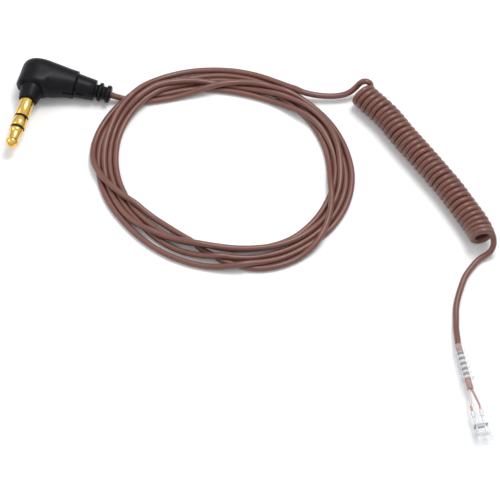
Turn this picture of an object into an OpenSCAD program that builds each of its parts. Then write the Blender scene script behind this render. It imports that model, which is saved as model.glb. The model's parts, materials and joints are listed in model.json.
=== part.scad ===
// Headset microphone cable assembly: a right-angle 3.5 mm three-pole plug, a thin
// cord laid in a ring, a curly section, and a small clear connector for the headset.
// Millimetres. X runs to the right, Y away from the front, Z up from the floor.

/* [Plug contacts] */
// Diameter of the plug's contact shaft
shaft_d = 3.5; // [3.2:0.05:4]
// Length of the contact shaft from the shoulder to the point
shaft_len = 14; // [13:0.1:17]
// Exposed length of the sleeve contact
sleeve_len = 4.95; // [4:0.05:6]
// Exposed length of the ring contact
ring_len = 2.6; // [2:0.05:3]
// Width of each black insulating band
band_w = 0.55; // [0.4:0.05:0.8]
// Diameter of the centre rod behind the tip
rod_d = 1; // [0.8:0.05:1.15]
// Outer diameter of the tube behind the ring contact
ring_tube_d = 1.9; // [1.8:0.05:2]

/* [Plug body] */
// Outer diameter of the elbow head, round the shaft's axis
head_d = 8.1; // [7.6:0.1:9]
// Distance from the cord's axis to the head's rear face
head_back = 3.9; // [3.7:0.1:4.5]
// Distance from the cord's axis to the head's front rim
head_front = 4.4; // [4.2:0.1:5]
// Rounding radius of the head's rear edge
head_round = 2.4; // [1.5:0.1:3]
// Distance from the cord's axis to the shoulder that the shaft leaves
shoulder_dist = 7.8; // [7:0.1:9]
// Diameter of the collar at the shoulder
collar_d = 4.6; // [4.4:0.1:5.4]
// Distance from the shaft's axis to the end of the arm
arm_len = 9.7; // [8.6:0.1:12]
// Diameter of the arm at its end
arm_d = 6.5; // [6:0.1:7]
// How far the arm droops from the horizontal, in degrees
arm_droop = 5; // [0:0.5:5]

/* [Plug strain relief] */
// Length of the smooth sleeve of the strain relief
boot_len = 4.8; // [4:0.1:7]
// Diameter of the smooth sleeve next to the arm
boot_d = 5.9; // [5.2:0.1:6]
// Diameter of the smooth sleeve at its far end
boot_end_d = 5.1; // [4.6:0.1:5.4]
// Diameter of the flexible neck between the ribs
neck_d = 3.1; // [2.6:0.1:3.4]
// Diameter of the first rib
rib_d = 4.5; // [4:0.1:4.8]
// Length of the first rib
rib_len = 1.1; // [0.8:0.1:1.4]
// Length of the end rib
end_rib_len = 2; // [1.6:0.1:2.6]
// Gap between the strain relief's ribs
rib_gap = 0.75; // [0.5:0.05:1]

/* [Cord] */
// Diameter of the cord's jacket
cord_d = 1.45; // [1.2:0.05:1.8]
// Diameter of one insulated core
core_d = 0.5; // [0.4:0.02:0.56]
// Half of the laid ring's width along X, to the middle of the strands
ring_half_x = 28; // [27:0.5:29]
// Half of the laid ring's depth along Y, to the middle of the strands
ring_half_y = 25.5; // [25:0.5:26.5]
// Width of the bundle of strands in the ring
bundle_w = 8.4; // [7:0.1:9]
// Height of the bundle of strands in the ring
bundle_h = 4.2; // [3.6:0.1:5]
// Outer diameter of the curly section
curly_d = 6.5; // [5.6:0.1:7]

/* [Headset connector] */
// Length of the clear connector body
body_len = 15.3; // [14.4:0.1:18]
// Width of the clear body over its straight end
body_w = 6.3; // [5.8:0.1:7]
// Height of the clear body over its straight end
body_h = 5; // [4.6:0.1:5.6]
// Length of the taper from the strain relief to the straight end
taper_len = 8.4; // [7:0.1:9]
// Length of the ribbed clear strain relief
relief_len = 8.9; // [8:0.1:11]
// Diameter of the ribbed strain relief where the cord enters
relief_d = 2.5; // [2.4:0.05:3]
// Diameter of the ribbed strain relief where it meets the body
relief_end_d = 3.4; // [3.2:0.05:3.8]
// Number of grooves in the strain relief
groove_count = 5; // [3:1:5]
// Width of the socket that the headset's plug enters
socket_w = 3.1; // [2.8:0.1:3.4]
// Height of the socket
socket_h = 2.2; // [2:0.1:2.6]
// Depth of the socket
socket_depth = 3.4; // [3:0.1:4]
// Distance between the two contacts' axes
contact_pitch = 2; // [1.8:0.05:2.2]
// Diameter of each contact pin
contact_d = 0.5; // [0.4:0.05:0.6]

/* [Fits] */
// Gap between a moulded piece and what it holds
fit_gap = 0.03; // [0.02:0.01:0.06]

/* [Hidden] */
$fn = 48;

// ---- places, in the row frame ----
plug_pos = [-50, 47];
plug_turn = -15;
plug_axis_z = head_d / 2;
connector_pos = [48.8, -26.8];
connector_turn = -78.5;
connector_axis_z = body_h / 2;
ring_centre = [-5.2, 22.5];

// ---- contacts: distances from the cord's axis along the shaft ----
shaft_r = shaft_d / 2;
sleeve_end = shoulder_dist + sleeve_len;
ring_start = sleeve_end + band_w;
ring_end = ring_start + ring_len;
tip_start = ring_end + band_w;
point_end = shoulder_dist + shaft_len;
sleeve_bore_d = ring_tube_d + 0.7;
sleeve_root_d = shaft_d - 0.4;
rod_bore_d = rod_d + 0.4;
flange_d = 4.1;
flange_t = 0.6;
sleeve_back = 3.2;
washer_d = 4;
washer_t = 0.7;
lug_t = 0.3;
lug_w = 1.5;
ring_washer_back = sleeve_back - washer_t;
ring_lug_back = ring_washer_back - lug_t - fit_gap;
tip_washer_back = ring_lug_back - washer_t - fit_gap;
tip_lug_back = tip_washer_back - lug_t - fit_gap;
rod_back = tip_lug_back - 0.4;

// ---- inside the moulding ----
mould_r = 2.75;
mould_front = 5.6;
mould_back = rod_back - 0.8;
mould_arm_len = arm_len - 1.6;
mould_arm_r = 2.1;
jacket_start = 4.9;
core_gap_z = 0.42;
lug_reach = 3.2;
solder_r = 0.36;

// ---- strain relief: distances from the shaft's axis along the arm ----
boot_end = arm_len + boot_len;
rib_start = boot_end + rib_gap;
end_rib_start = rib_start + rib_len + rib_gap;
plug_exit = end_rib_start + end_rib_len;

// ---- connector: distances from the cord's entry ----
mouth = relief_len + body_len;
socket_floor = mouth - socket_depth;
holder_len = 2.2;
holder_start = socket_floor - holder_len;
contact_start = holder_start - 1.4;
contact_end = socket_floor + 2.2;
cup_d = 0.9;
connector_jacket_end = relief_len + 2.6;
bare_len = 1.4;

// ---- routes of the cord, points chosen by hand, x y z ----
lead_sides = 8;
curly_sides = 14;
PLUG_ROUTE = [[-31.8, 42.1, 2.4], [-29.8, 42, 2], [-27.6, 42, 1.5], [-25.7, 41.8, 1.1],
              [-24, 41.6, 0.9]];
CURLY_ROUTE = [[10.3, 44.2, 2.6], [14, 43, 2.6], [16.9, 42.5, 2.1], [19.8, 42.3, 1.8],
               [22.7, 42.4, 1.8], [24.4, 42.7, 2], [25.7, 43.2, 2.4], [27.1, 44, 3.2],
               [28.2, 44.4, 4.4], [29.1, 44.4, 5.3], [29.8, 43.8, 5.6]];
CURLY_AXIS = [[27.4, 43.3, 3.25], [30.6, 39.5, 3.25], [34.1, 35.6, 3.25], [37, 31.3, 3.25],
              [40, 27, 3.25], [43.1, 22.7, 3.25], [46, 18.5, 3.25], [48.6, 14.7, 3.25],
              [51, 10.6, 3.25], [53.2, 6.7, 3.25], [54.7, 3.5, 3.25], [55.6, -0.1, 3.25]];
TAIL_ROUTE = [[58.3, 0.3, 3.1], [57.8, -0.8, 2.2], [56.7, -1.7, 1.3], [55.3, -2.6, 0.9],
              [54, -3.8, 0.75], [52.9, -5.2, 0.75], [51.4, -7.5, 0.75], [50.5, -9.8, 0.75],
              [49.7, -12.3, 0.75], [49.1, -14.7, 0.75], [48.8, -17.1, 0.8], [48.7, -19.4, 1],
              [48.6, -21.7, 1.4], [48.7, -24.4, 2.1], [48.8, -26.8, 2.5]];

// Points of an arc in a plane, from angle a0 to angle a1
function arc_points(cx, cy, r, a0, a1, steps) =
    [for (i = [0:steps]) let (a = a0 + (a1 - a0) * i / steps) [cx + r * cos(a), cy + r * sin(a)]];

function unit(v) = v / norm(v);

// Direction of a route at one of its points
function route_dir(route, i) =
    unit(route[min(i + 1, len(route) - 1)] - route[max(i - 1, 0)]);

// Closed tube of one diameter swept along a route, with flat ends
module swept_tube(route, d, sides) {
    rings = [for (i = [0:len(route) - 1])
        let (t = route_dir(route, i), side = unit(cross([0, 0, 1], t)), lift = cross(t, side))
        for (k = [0:sides - 1])
        let (a = 360 * k / sides)
        route[i] + d / 2 * (side * cos(a) + lift * sin(a))];
    last = (len(route) - 1) * sides;
    walls = [for (i = [0:len(route) - 2], k = [0:sides - 1])
        let (n = (k + 1) % sides, a = i * sides)
        [a + k, a + sides + k, a + sides + n, a + n]];
    polyhedron(rings, concat([[for (k = [0:sides - 1]) k]], walls,
        [[for (k = [sides - 1:-1:0]) last + k]]));
}

// Plug frame: x along the arm to the cord, y away from the contacts, origin at the elbow
module in_plug() {
    translate([plug_pos[0], plug_pos[1], plug_axis_z])
        rotate([0, 0, plug_turn]) rotate([0, arm_droop, 0]) children();
}

// Turns a profile of (radius, distance towards the point) round the shaft's axis
module round_shaft(profile) {
    rotate([90, 0, 0]) rotate_extrude() polygon(profile);
}

// Solid cylinder on the shaft's axis between two distances from the elbow
module on_shaft(d, from, to) {
    rotate([90, 0, 0]) translate([0, 0, from]) cylinder(d = d, h = to - from);
}

// Tube on the shaft's axis
module tube_on_shaft(d, bore, from, to) {
    difference() {
        on_shaft(d, from, to);
        on_shaft(bore, from - 1, to + 1);
    }
}

// Solid cylinder or cone along the arm
module on_arm(d1, d2, from, to) {
    translate([from, 0, 0]) rotate([0, 90, 0]) cylinder(d1 = d1, d2 = d2, h = to - from);
}

// ---- plug contacts ----
module plug_tip() {
    tip_r = shaft_r - 0.1;
    waist_r = shaft_r - 0.4;
    color("goldenrod") in_plug() union() {
        round_shaft(concat([[0, tip_start + fit_gap], [shaft_r, tip_start + fit_gap],
            [shaft_r, tip_start + 0.7], [waist_r, tip_start + 1.1],
            [waist_r, point_end - 2.4], [tip_r, point_end - 1.7]],
            arc_points(0, point_end - 0.5, 0.5, 30, 90, 4)));
        on_shaft(rod_d, rod_back, tip_start + 1);
    }
}

module tip_band() {
    color("black") in_plug()
        tube_on_shaft(shaft_d - 0.04, rod_d + 2 * fit_gap, ring_end + fit_gap, tip_start);
}

module plug_ring() {
    color("goldenrod") in_plug() union() {
        tube_on_shaft(shaft_d, rod_bore_d, ring_start + fit_gap, ring_end);
        tube_on_shaft(ring_tube_d, rod_bore_d, ring_lug_back, ring_start + 0.5);
    }
}

module ring_band() {
    color("black") in_plug()
        tube_on_shaft(shaft_d - 0.04, ring_tube_d + 2 * fit_gap, sleeve_end + fit_gap, ring_start);
}

module plug_sleeve() {
    color("goldenrod") in_plug() union() {
        tube_on_shaft(shaft_d, sleeve_bore_d, shoulder_dist, sleeve_end);
        tube_on_shaft(sleeve_root_d, sleeve_bore_d, sleeve_back, shoulder_dist + 1);
        tube_on_shaft(flange_d, sleeve_bore_d, sleeve_back, sleeve_back + flange_t);
    }
}

module rod_insulator() {
    color("ivory") in_plug()
        tube_on_shaft(rod_bore_d - 2 * fit_gap, rod_d + 2 * fit_gap,
            tip_washer_back + washer_t + fit_gap, ring_end - fit_gap);
}

module ring_tube_insulator() {
    color("ivory") in_plug()
        tube_on_shaft(sleeve_bore_d - 2 * fit_gap, ring_tube_d + 2 * fit_gap,
            sleeve_back, sleeve_end - fit_gap);
}

module ring_washer() {
    color("ivory") in_plug()
        tube_on_shaft(washer_d, ring_tube_d + 2 * fit_gap, ring_washer_back,
            sleeve_back - fit_gap);
}

// Flat ring with a soldering tab that points along the arm
module lug(bore, back) {
    difference() {
        union() {
            on_shaft(washer_d - 1, back, back + lug_t);
            translate([0, -back - lug_t, -lug_w / 2]) cube([lug_reach, lug_t, lug_w]);
        }
        on_shaft(bore, back - 1, back + lug_t + 1);
    }
}

module ring_lug() {
    color("gold") in_plug() lug(ring_tube_d + 2 * fit_gap, ring_lug_back);
}

module tip_washer() {
    color("ivory") in_plug()
        tube_on_shaft(washer_d, rod_d + 2 * fit_gap, tip_washer_back,
            ring_lug_back - fit_gap);
}

module tip_lug() {
    color("gold") in_plug() lug(rod_d + 2 * fit_gap, tip_lug_back);
}

module sleeve_lug() {
    strip_y = sleeve_back + flange_t + fit_gap;
    color("gold") in_plug() difference() {
        union() {
            on_shaft(flange_d, strip_y, strip_y + lug_t);
            translate([0, -strip_y - lug_t, -lug_w / 2])
                cube([jacket_start + 1, lug_t, lug_w]);
        }
        on_shaft(sleeve_root_d + 2 * fit_gap, strip_y - 1, strip_y + lug_t + 1);
    }
}

// One drop of solder on each of the three soldering tabs
module plug_solder_joints() {
    color("silver") in_plug() {
        translate([lug_reach - 0.5, -ring_lug_back + solder_r, 0]) sphere(solder_r);
        translate([lug_reach - 0.5, -tip_lug_back + solder_r, 0]) sphere(solder_r);
        translate([jacket_start - 0.7, -sleeve_back - flange_t + solder_r, 0]) sphere(solder_r);
    }
}

// Straight wire between two points
module straight_wire(a, b, d) {
    span = b - a;
    turn = atan2(span[1], span[0]);
    tilt = acos(span[2] / norm(span));
    translate(a) rotate([0, tilt, turn]) cylinder(d = d, h = norm(span));
}

module tip_core_wire() {
    color("white") in_plug()
        straight_wire([jacket_start, 0, core_gap_z],
            [lug_reach - 0.1, -tip_lug_back + core_d / 2 + 0.1, core_gap_z], core_d);
}

module ring_core_wire() {
    color("indianred") in_plug()
        straight_wire([jacket_start, 0, -core_gap_z],
            [lug_reach - 0.1, -ring_lug_back + core_d / 2 + 0.1, -core_gap_z], core_d);
}

module plug_screen_wire() {
    color("peru") in_plug()
        straight_wire([jacket_start, -0.2, 0],
            [jacket_start - 0.5, -sleeve_back - flange_t + 0.5, 0], core_d * 0.7);
}

// Outside of the inner moulding that holds the contacts and the wires
module inner_mould_shape(extra) {
    on_shaft(2 * (mould_r + extra), mould_back - extra, mould_front + extra);
    on_arm(2 * (mould_arm_r + extra), 2 * (mould_arm_r + extra), 0, mould_arm_len + extra);
}

module plug_inner_mould() {
    pocket_r = flange_d / 2 + 2 * fit_gap;
    pocket_front = sleeve_back + flange_t + lug_t + 3 * fit_gap;
    tab_room = lug_w + 0.2;
    color("whitesmoke") in_plug() difference() {
        inner_mould_shape(0);
        on_shaft(2 * pocket_r, rod_back - fit_gap, pocket_front);
        on_shaft(sleeve_root_d + 2 * fit_gap, pocket_front - 1, mould_front + 1);
        translate([0, -pocket_front, -tab_room / 2])
            cube([jacket_start + 1.1, pocket_front - rod_back, tab_room]);
        on_arm(cord_d + 2 * fit_gap, cord_d + 2 * fit_gap, jacket_start, mould_arm_len + 1);
    }
}

// ---- plug moulding ----
// Head, collar and arm of the elbow, all solid
module elbow_shape() {
    rim_round = 0.5;
    round_shaft(concat(
        [[0, -head_back]],
        arc_points(head_d / 2 - head_round, head_round - head_back, head_round, -90, 0, 6),
        arc_points(head_d / 2 - rim_round, head_front - rim_round, rim_round, 0, 90, 3),
        [[collar_d / 2 + 0.65, head_front], [collar_d / 2, shoulder_dist], [0, shoulder_dist]]));
    on_arm(2 * head_back, arm_d, 0, arm_len);
    // the fillet in the crotch between the collar and the arm
    crotch_r = 2.6;
    crotch_web = 2;
    crotch_x = collar_d / 2 + crotch_r + 0.5;
    arm_r_there = head_back + (arm_d / 2 - head_back) * crotch_x / arm_len;
    crotch_y = -arm_r_there - crotch_r + 0.2;
    translate([0, 0, -crotch_web / 2]) linear_extrude(crotch_web) difference() {
        translate([0, crotch_y]) square([crotch_x, crotch_r + 1]);
        translate([crotch_x, crotch_y]) circle(crotch_r);
    }
}

// Slot in the front of a round piece on the arm, above its middle, left by a mould pin
module mould_slot(from, to, d) {
    slot_h = 0.5;
    slot_depth = 0.6;
    slot_rise = 0.85;
    translate([from, -d / 2 - 1, slot_rise - slot_h / 2]) cube([to - from, slot_depth + 1, slot_h]);
}

module plug_body() {
    color([0.12, 0.12, 0.14]) in_plug() difference() {
        elbow_shape();
        inner_mould_shape(fit_gap);
        on_shaft(sleeve_root_d + 2 * fit_gap, mould_front, shoulder_dist + 1);
        on_arm(cord_d + 2 * fit_gap, cord_d + 2 * fit_gap, mould_arm_len, arm_len + 1);
        mould_slot(arm_len - 2.1, arm_len + 1, arm_d);
    }
}

module plug_strain_relief() {
    web = 1;
    color([0.12, 0.12, 0.14]) in_plug() difference() {
        union() {
            on_arm(boot_d, boot_end_d, arm_len + fit_gap, boot_end);
            on_arm(neck_d, neck_d - 0.6, boot_end - 0.5, plug_exit);
            on_arm(rib_d, rib_d - 0.1, rib_start, rib_start + rib_len);
            on_arm(rib_d - 0.3, rib_d - 0.5, end_rib_start, plug_exit);
            // webs that tie the ribs together, on the sides and then above and below
            translate([boot_end - 0.2, -boot_end_d / 2 + 0.45, -web / 2])
                cube([rib_gap + 0.4, boot_end_d - 0.9, web]);
            translate([rib_start + rib_len - 0.2, -web / 2, -rib_d / 2 + 0.3])
                cube([rib_gap + 0.4, web, rib_d - 0.6]);
        }
        on_arm(cord_d + 2 * fit_gap, cord_d + 2 * fit_gap, arm_len - 1, plug_exit + 1);
        mould_slot(arm_len + 0.7, arm_len + 2.5, boot_d);
        // windows through the end rib, one on each side
        for (side = [-1, 1])
            translate([end_rib_start + 0.5, side * rib_d / 2 - 0.5, -0.4])
                cube([end_rib_len - 1, 1, 0.8]);
    }
}

module plug_cord_end() {
    color("saddlebrown") in_plug() on_arm(cord_d, cord_d, jacket_start, plug_exit);
}

// ---- the free cord ----
module plug_lead() {
    color("saddlebrown") swept_tube(PLUG_ROUTE, cord_d, lead_sides);
}

// Section of the strand bundle, at a distance from the turning axis
module bundle_section(at) {
    end_r = bundle_h / 2;
    translate([at, end_r]) union() {
        square([bundle_w - bundle_h, bundle_h], center = true);
        for (side = [-1, 1]) translate([side * (bundle_w / 2 - end_r), 0]) circle(end_r);
    }
}

// Oval of four arcs that meet tangent to each other
module ring_coil() {
    side_r = 23;
    front_r = (ring_half_x ^ 2 + ring_half_y ^ 2 - 2 * ring_half_x * side_r)
        / (2 * (ring_half_y - side_r));
    reach = atan2(front_r - ring_half_y, ring_half_x - side_r);
    color("sienna") translate([ring_centre[0], ring_centre[1], 0]) union() {
        for (turn = [0, 180]) rotate([0, 0, turn]) {
            translate([ring_half_x - side_r, 0, 0]) rotate([0, 0, -reach])
                rotate_extrude(angle = 2 * reach) bundle_section(side_r);
            translate([0, ring_half_y - front_r, 0]) rotate([0, 0, reach])
                rotate_extrude(angle = 180 - 2 * reach) bundle_section(front_r);
        }
    }
}

module curly_lead() {
    color("saddlebrown") swept_tube(CURLY_ROUTE, cord_d, lead_sides);
}

module curly_cord() {
    color("sienna") swept_tube(CURLY_AXIS, curly_d, curly_sides);
}

module tail_lead() {
    color("saddlebrown") swept_tube(TAIL_ROUTE, cord_d, lead_sides);
}

// ---- headset connector ----
// Connector frame: x from the cord's entry to the mouth, y across, z up
module in_connector() {
    translate([connector_pos[0], connector_pos[1], connector_axis_z])
        rotate([0, 0, connector_turn]) children();
}

// Cylinder or cone along the connector at a distance to its side
module along_connector(d1, d2, from, to, across) {
    translate([from, across, 0]) rotate([0, 90, 0]) cylinder(d1 = d1, d2 = d2, h = to - from);
}

module connector_strain_relief() {
    groove_w = 0.5;
    groove_pitch = 1.35;
    first_groove = 1.7;
    groove_floor = cord_d + 0.7;
    color("lightgray", 0.5) in_connector() difference() {
        along_connector(relief_d, relief_end_d, 0, relief_len - fit_gap, 0);
        along_connector(cord_d + 2 * fit_gap, cord_d + 2 * fit_gap, -1, relief_len + 1, 0);
        for (i = [0:groove_count - 1]) {
            at = first_groove + i * groove_pitch;
            difference() {
                along_connector(relief_end_d + 2, relief_end_d + 2, at, at + groove_w, 0);
                along_connector(groove_floor, groove_floor, at - 1, at + groove_w + 1, 0);
            }
        }
    }
}

// Straight end of the body: a slab with round long sides, and its taper to the relief
module connector_shape() {
    side_r = body_h / 2;
    half = body_w / 2 - side_r;
    straight_from = relief_len + taper_len;
    hull() {
        for (side = [-1, 1]) {
            along_connector(body_h, body_h, straight_from, mouth - 0.5, side * half, $fn = 32);
            along_connector(body_h - 0.6, body_h - 0.6, mouth - 0.4, mouth, side * half, $fn = 32);
        }
        along_connector(relief_end_d + 0.2, relief_end_d + 0.2, relief_len, relief_len + 0.4, 0, $fn = 32);
    }
}

module connector_body() {
    holder_w = contact_pitch + 1.6;
    holder_h = 2.2;
    color("lightcyan", 0.4) in_connector() difference() {
        connector_shape();
        along_connector(cord_d + 2 * fit_gap, cord_d + 2 * fit_gap, relief_len - 1,
            connector_jacket_end, 0);
        // room for the cores, the contacts and the holder
        translate([connector_jacket_end - 0.1, -holder_w / 2 - fit_gap, -holder_h / 2 - fit_gap])
            cube([socket_floor - connector_jacket_end + 0.2, holder_w + 2 * fit_gap,
                holder_h + 2 * fit_gap]);
        translate([socket_floor, -socket_w / 2, -socket_h / 2])
            cube([socket_depth + 1, socket_w, socket_h]);
    }
}

module contact_holder() {
    holder_w = contact_pitch + 1.6;
    holder_h = 2.2;
    bore = contact_d + 2 * fit_gap;
    color("white", 0.6) in_connector() difference() {
        translate([holder_start, -holder_w / 2, -holder_h / 2])
            cube([holder_len, holder_w, holder_h]);
        for (side = [-1, 1])
            along_connector(bore, bore, holder_start - 1, socket_floor + 1, side * contact_pitch / 2);
    }
}

// Pin with a solder cup on its rear end, in front of the holder
module contact(side) {
    color("silver") in_connector() difference() {
        union() {
            along_connector(contact_d, contact_d, contact_start, contact_end,
                side * contact_pitch / 2);
            along_connector(cup_d, cup_d, contact_start, holder_start - fit_gap,
                side * contact_pitch / 2);
        }
        along_connector(cup_d - 0.3, cup_d - 0.3, contact_start - 1, contact_start + 0.8,
            side * contact_pitch / 2);
    }
}

module left_contact() { contact(-1); }

module right_contact() { contact(1); }

// Core from the jacket's end out to its contact
module connector_core(side) {
    start = [connector_jacket_end + fit_gap, side * core_d / 2 * 1.1, 0];
    end = [contact_start - bare_len, side * contact_pitch / 2, 0];
    in_connector() straight_wire(start, end, core_d);
}

module left_core_wire() { color("mistyrose") connector_core(-1); }

module right_core_wire() { color("rosybrown") connector_core(1); }

// Bare copper from each core's end into its contact's cup
module core_strands() {
    color("peru") in_connector() for (side = [-1, 1])
        along_connector(cup_d - 0.4, cup_d - 0.4, contact_start - bare_len + 0.15,
            contact_start + 0.7, side * contact_pitch / 2);
}

module connector_cord_end() {
    color("saddlebrown") in_connector()
        along_connector(cord_d, cord_d, 0, connector_jacket_end, 0);
}

plug_tip();
tip_band();
plug_ring();
ring_band();
plug_sleeve();
rod_insulator();
ring_tube_insulator();
ring_washer();
ring_lug();
tip_washer();
tip_lug();
sleeve_lug();
plug_solder_joints();
tip_core_wire();
ring_core_wire();
plug_screen_wire();
plug_inner_mould();
plug_body();
plug_strain_relief();
plug_cord_end();
plug_lead();
ring_coil();
curly_lead();
curly_cord();
tail_lead();
connector_strain_relief();
connector_body();
contact_holder();
left_contact();
right_contact();
left_core_wire();
right_core_wire();
core_strands();
connector_cord_end();
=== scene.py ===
"""Looks of a headset microphone cable: mini jack plug, laid cord, curly section and clear connector.

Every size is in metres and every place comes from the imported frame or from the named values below.
"""

import json
import math

import bpy
import numpy as np
from bpy.props import FloatProperty, FloatVectorProperty, IntProperty, PointerProperty
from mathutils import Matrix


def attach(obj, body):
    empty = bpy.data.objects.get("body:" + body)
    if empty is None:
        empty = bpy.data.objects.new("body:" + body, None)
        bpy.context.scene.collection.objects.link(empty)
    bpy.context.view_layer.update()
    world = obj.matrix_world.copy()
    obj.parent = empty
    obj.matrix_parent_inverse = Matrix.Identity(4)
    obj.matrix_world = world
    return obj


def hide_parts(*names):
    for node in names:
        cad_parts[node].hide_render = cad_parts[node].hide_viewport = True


bl_info = {
    "name": "Headset Microphone Cable",
    "version": (1, 0, 0),
    "blender": (4, 5, 0),
    "location": "View3D > Sidebar > Cable",
    "description": "Builds the cord, plug and connector of a headset microphone cable",
    "category": "Object",
}

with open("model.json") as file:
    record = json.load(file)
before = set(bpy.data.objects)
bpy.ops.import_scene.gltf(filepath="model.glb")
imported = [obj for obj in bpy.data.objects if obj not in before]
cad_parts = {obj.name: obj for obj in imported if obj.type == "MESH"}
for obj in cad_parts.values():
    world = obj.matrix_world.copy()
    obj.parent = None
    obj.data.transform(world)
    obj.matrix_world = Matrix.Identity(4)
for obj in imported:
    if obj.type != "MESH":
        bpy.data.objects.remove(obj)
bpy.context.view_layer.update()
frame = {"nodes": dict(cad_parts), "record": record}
NODES = frame["nodes"]
MOUNTS = {mount["name"]: mount for mount in frame["record"]["mounts"]}
MM = 0.001
UP = np.array([0.0, 0.0, 1.0])
CONNECTOR_INSIDE = (
    "connector_cord_end", "contact_holder", "left_contact", "right_contact", "left_core_wire",
    "right_core_wire", "core_strands",
)

# Route of the cord, in millimetres: the plug's exit, the ring and the way to the curly section
PLUG_ROUTE = [
    (-32.3, 42.15, 2.5), (-30.8, 42.1, 1.8), (-29.2, 42.0, 1.15), (-27.4, 41.9, 0.8), (-25.6, 41.8, 0.75),
]
CURLY_ROUTE = [
    (14.0, 43.0, 2.6), (16.9, 42.5, 2.1), (19.8, 42.3, 1.8), (22.7, 42.4, 1.8), (24.4, 42.7, 2.0),
    (25.7, 43.2, 2.4), (27.1, 44.0, 3.3), (28.0, 44.3, 4.5), (28.8, 44.3, 5.2), (29.6, 44.1, 5.4),
    (30.3, 43.9, 5.0), (30.6, 43.9, 4.2), (30.4, 43.9, 3.2),
]
CURLY_AXIS = [
    (28.2, 42.3, 3.25), (30.6, 39.5, 3.25), (34.1, 35.6, 3.25), (37.0, 31.3, 3.25), (40.0, 27.0, 3.25),
    (43.1, 22.7, 3.25), (46.0, 18.5, 3.25), (48.6, 14.7, 3.25), (51.0, 10.6, 3.25), (53.2, 6.8, 3.3),
    (54.7, 3.7, 3.7), (55.5, 0.6, 4.7),
]
TAIL_ROUTE = [
    (58.0, -0.7, 3.0), (57.1, -1.7, 1.6), (55.4, -2.6, 0.95), (54.0, -3.8, 0.75), (52.9, -5.2, 0.75),
    (51.4, -7.5, 0.75), (50.5, -9.8, 0.75), (49.7, -12.3, 0.75), (49.1, -14.7, 0.75), (48.8, -17.1, 0.8),
    (48.7, -19.4, 1.0), (48.6, -21.7, 1.4), (48.7, -24.4, 2.1), (48.8, -26.8, 2.5),
]

# The plug's mould: height of its slot above the arm's axis, in millimetres, and points round a section
SLOT_RISE = 0.85
MOULD_SIDES = 160

# The hand-laid ring: for each turn, how far the strand runs from the ring's middle (millimetres) and
# which layer it lies on, every 20 degrees clockwise from the first station
RING_CENTRE = (-5.2, 22.5)
RING_SQUASH = 0.98
FIRST_STATION = 120.0
STATION_STEP = -20.0
LOWEST_LAYER = 0.75
LAYER_RISE = 1.25
TURNS = [
    (
        [24.1, 23.8, 25.4, 26.0, 27.9, 29.3, 30.5, 31.4, 30.8, 29.8, 29.0, 28.5, 28.0, 27.7, 28.1, 29.6,
         30.1],
        [0, 1, 1, 0, 0, 0, 0, 0, 0, 0, 1, 0, 0, 0, 0, 0, 0],
    ),
    (
        [29.4, 25.8, 23.6, 22.8, 23.1, 25.3, 26.7, 27.6, 27.2, 27.5, 26.6, 24.0, 23.2, 23.4, 23.5, 24.6,
         25.9, 27.2],
        [1.3, 0.8, 0, 0, 0, 1, 1, 0, 0, 0, 0, 0, 1, 0, 0, 0, 0, 0.8],
    ),
    (
        [28.0, 27.1, 25.3, 25.8, 24.5, 25.0, 26.2, 26.2, 28.3, 31.0, 31.4, 28.9, 24.2, 21.9, 22.1, 25.9,
         30.5, 31.4],
        [2, 1.3, 0.3, 0, 0, 0, 0, 0, 1, 1, 0, 0, 0, 0, 0, 1.5, 1, 0.8],
    ),
    (
        [30.7, 28.4, 26.9, 27.2, 27.4, 26.4, 27.8, 29.1, 30.1, 29.2, 28.1, 26.6, 26.2, 26.1, 25.7, 26.4,
         27.7, 28.6],
        [2, 0.8, 0, 0, 0, 0, 0, 0, 0, 0, 0, 0, 0.5, 0, 0, 0, 0, 0],
    ),
    (
        [28.4, 27.2, 25.7, 24.3, 25.2, 27.1, 28.5, 28.9, 28.7, 28.6, 26.3, 24.1, 23.3, 24.0, 26.2, 27.6,
         28.6, 29.6],
        [2, 1.5, 1, 0, 1, 1, 1, 1, 0, 1, 1, 1, 2, 1, 1, 1, 1, 1],
    ),
    ([30.2, 30.2, 29.2, 27.8, 27.6], [2, 1, 1, 1, 1]),
]


# ---------------------------------------------------------------- settings


class CordSettings(bpy.types.PropertyGroup):
    """Sizes and colours of the cord"""

    diameter: FloatProperty(
        name="Diameter",
        description="Diameter of the cord's jacket",
        default=0.00145,
        min=0.001,
        unit="LENGTH",
    )
    curly_radius: FloatProperty(
        name="Curl radius",
        description="From the curl's axis to the cord's middle",
        default=0.002525,
        unit="LENGTH",
    )
    curly_turns: IntProperty(
        name="Curl turns", description="Turns of the curly section", default=34, min=3
    )
    sides: IntProperty(name="Sides", description="Faces round the cord", default=14, min=6)
    light: FloatVectorProperty(
        name="Light jacket",
        description="Lighter tone of the jacket",
        default=(0.192, 0.073, 0.053),
        subtype="COLOR",
    )
    dark: FloatVectorProperty(
        name="Dark jacket",
        description="Darker tone of the jacket",
        default=(0.088, 0.029, 0.019),
        subtype="COLOR",
    )


class PlugSettings(bpy.types.PropertyGroup):
    """Sizes and colours of the jack plug"""

    shoulder: FloatProperty(
        name="Shoulder", description="From the elbow's middle to the shoulder", default=0.0078, unit="LENGTH"
    )
    arm_droop: FloatProperty(
        name="Arm droop",
        description="Slope of the arm down to the floor",
        default=math.radians(5),
        subtype="ANGLE",
    )
    head_radius: FloatProperty(
        name="Head radius", description="Radius of the elbow's head", default=0.00405, unit="LENGTH"
    )
    arm_length: FloatProperty(
        name="Arm length",
        description="From the shaft's axis to the arm's end",
        default=0.0097,
        unit="LENGTH",
    )
    gold: FloatVectorProperty(
        name="Gold",
        description="Colour of the contacts' plating",
        default=(0.9, 0.6, 0.17),
        subtype="COLOR",
    )
    black: FloatVectorProperty(
        name="Moulding",
        description="Colour of the moulded elbow",
        default=(0.004, 0.004, 0.0053),
        subtype="COLOR",
    )


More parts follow.
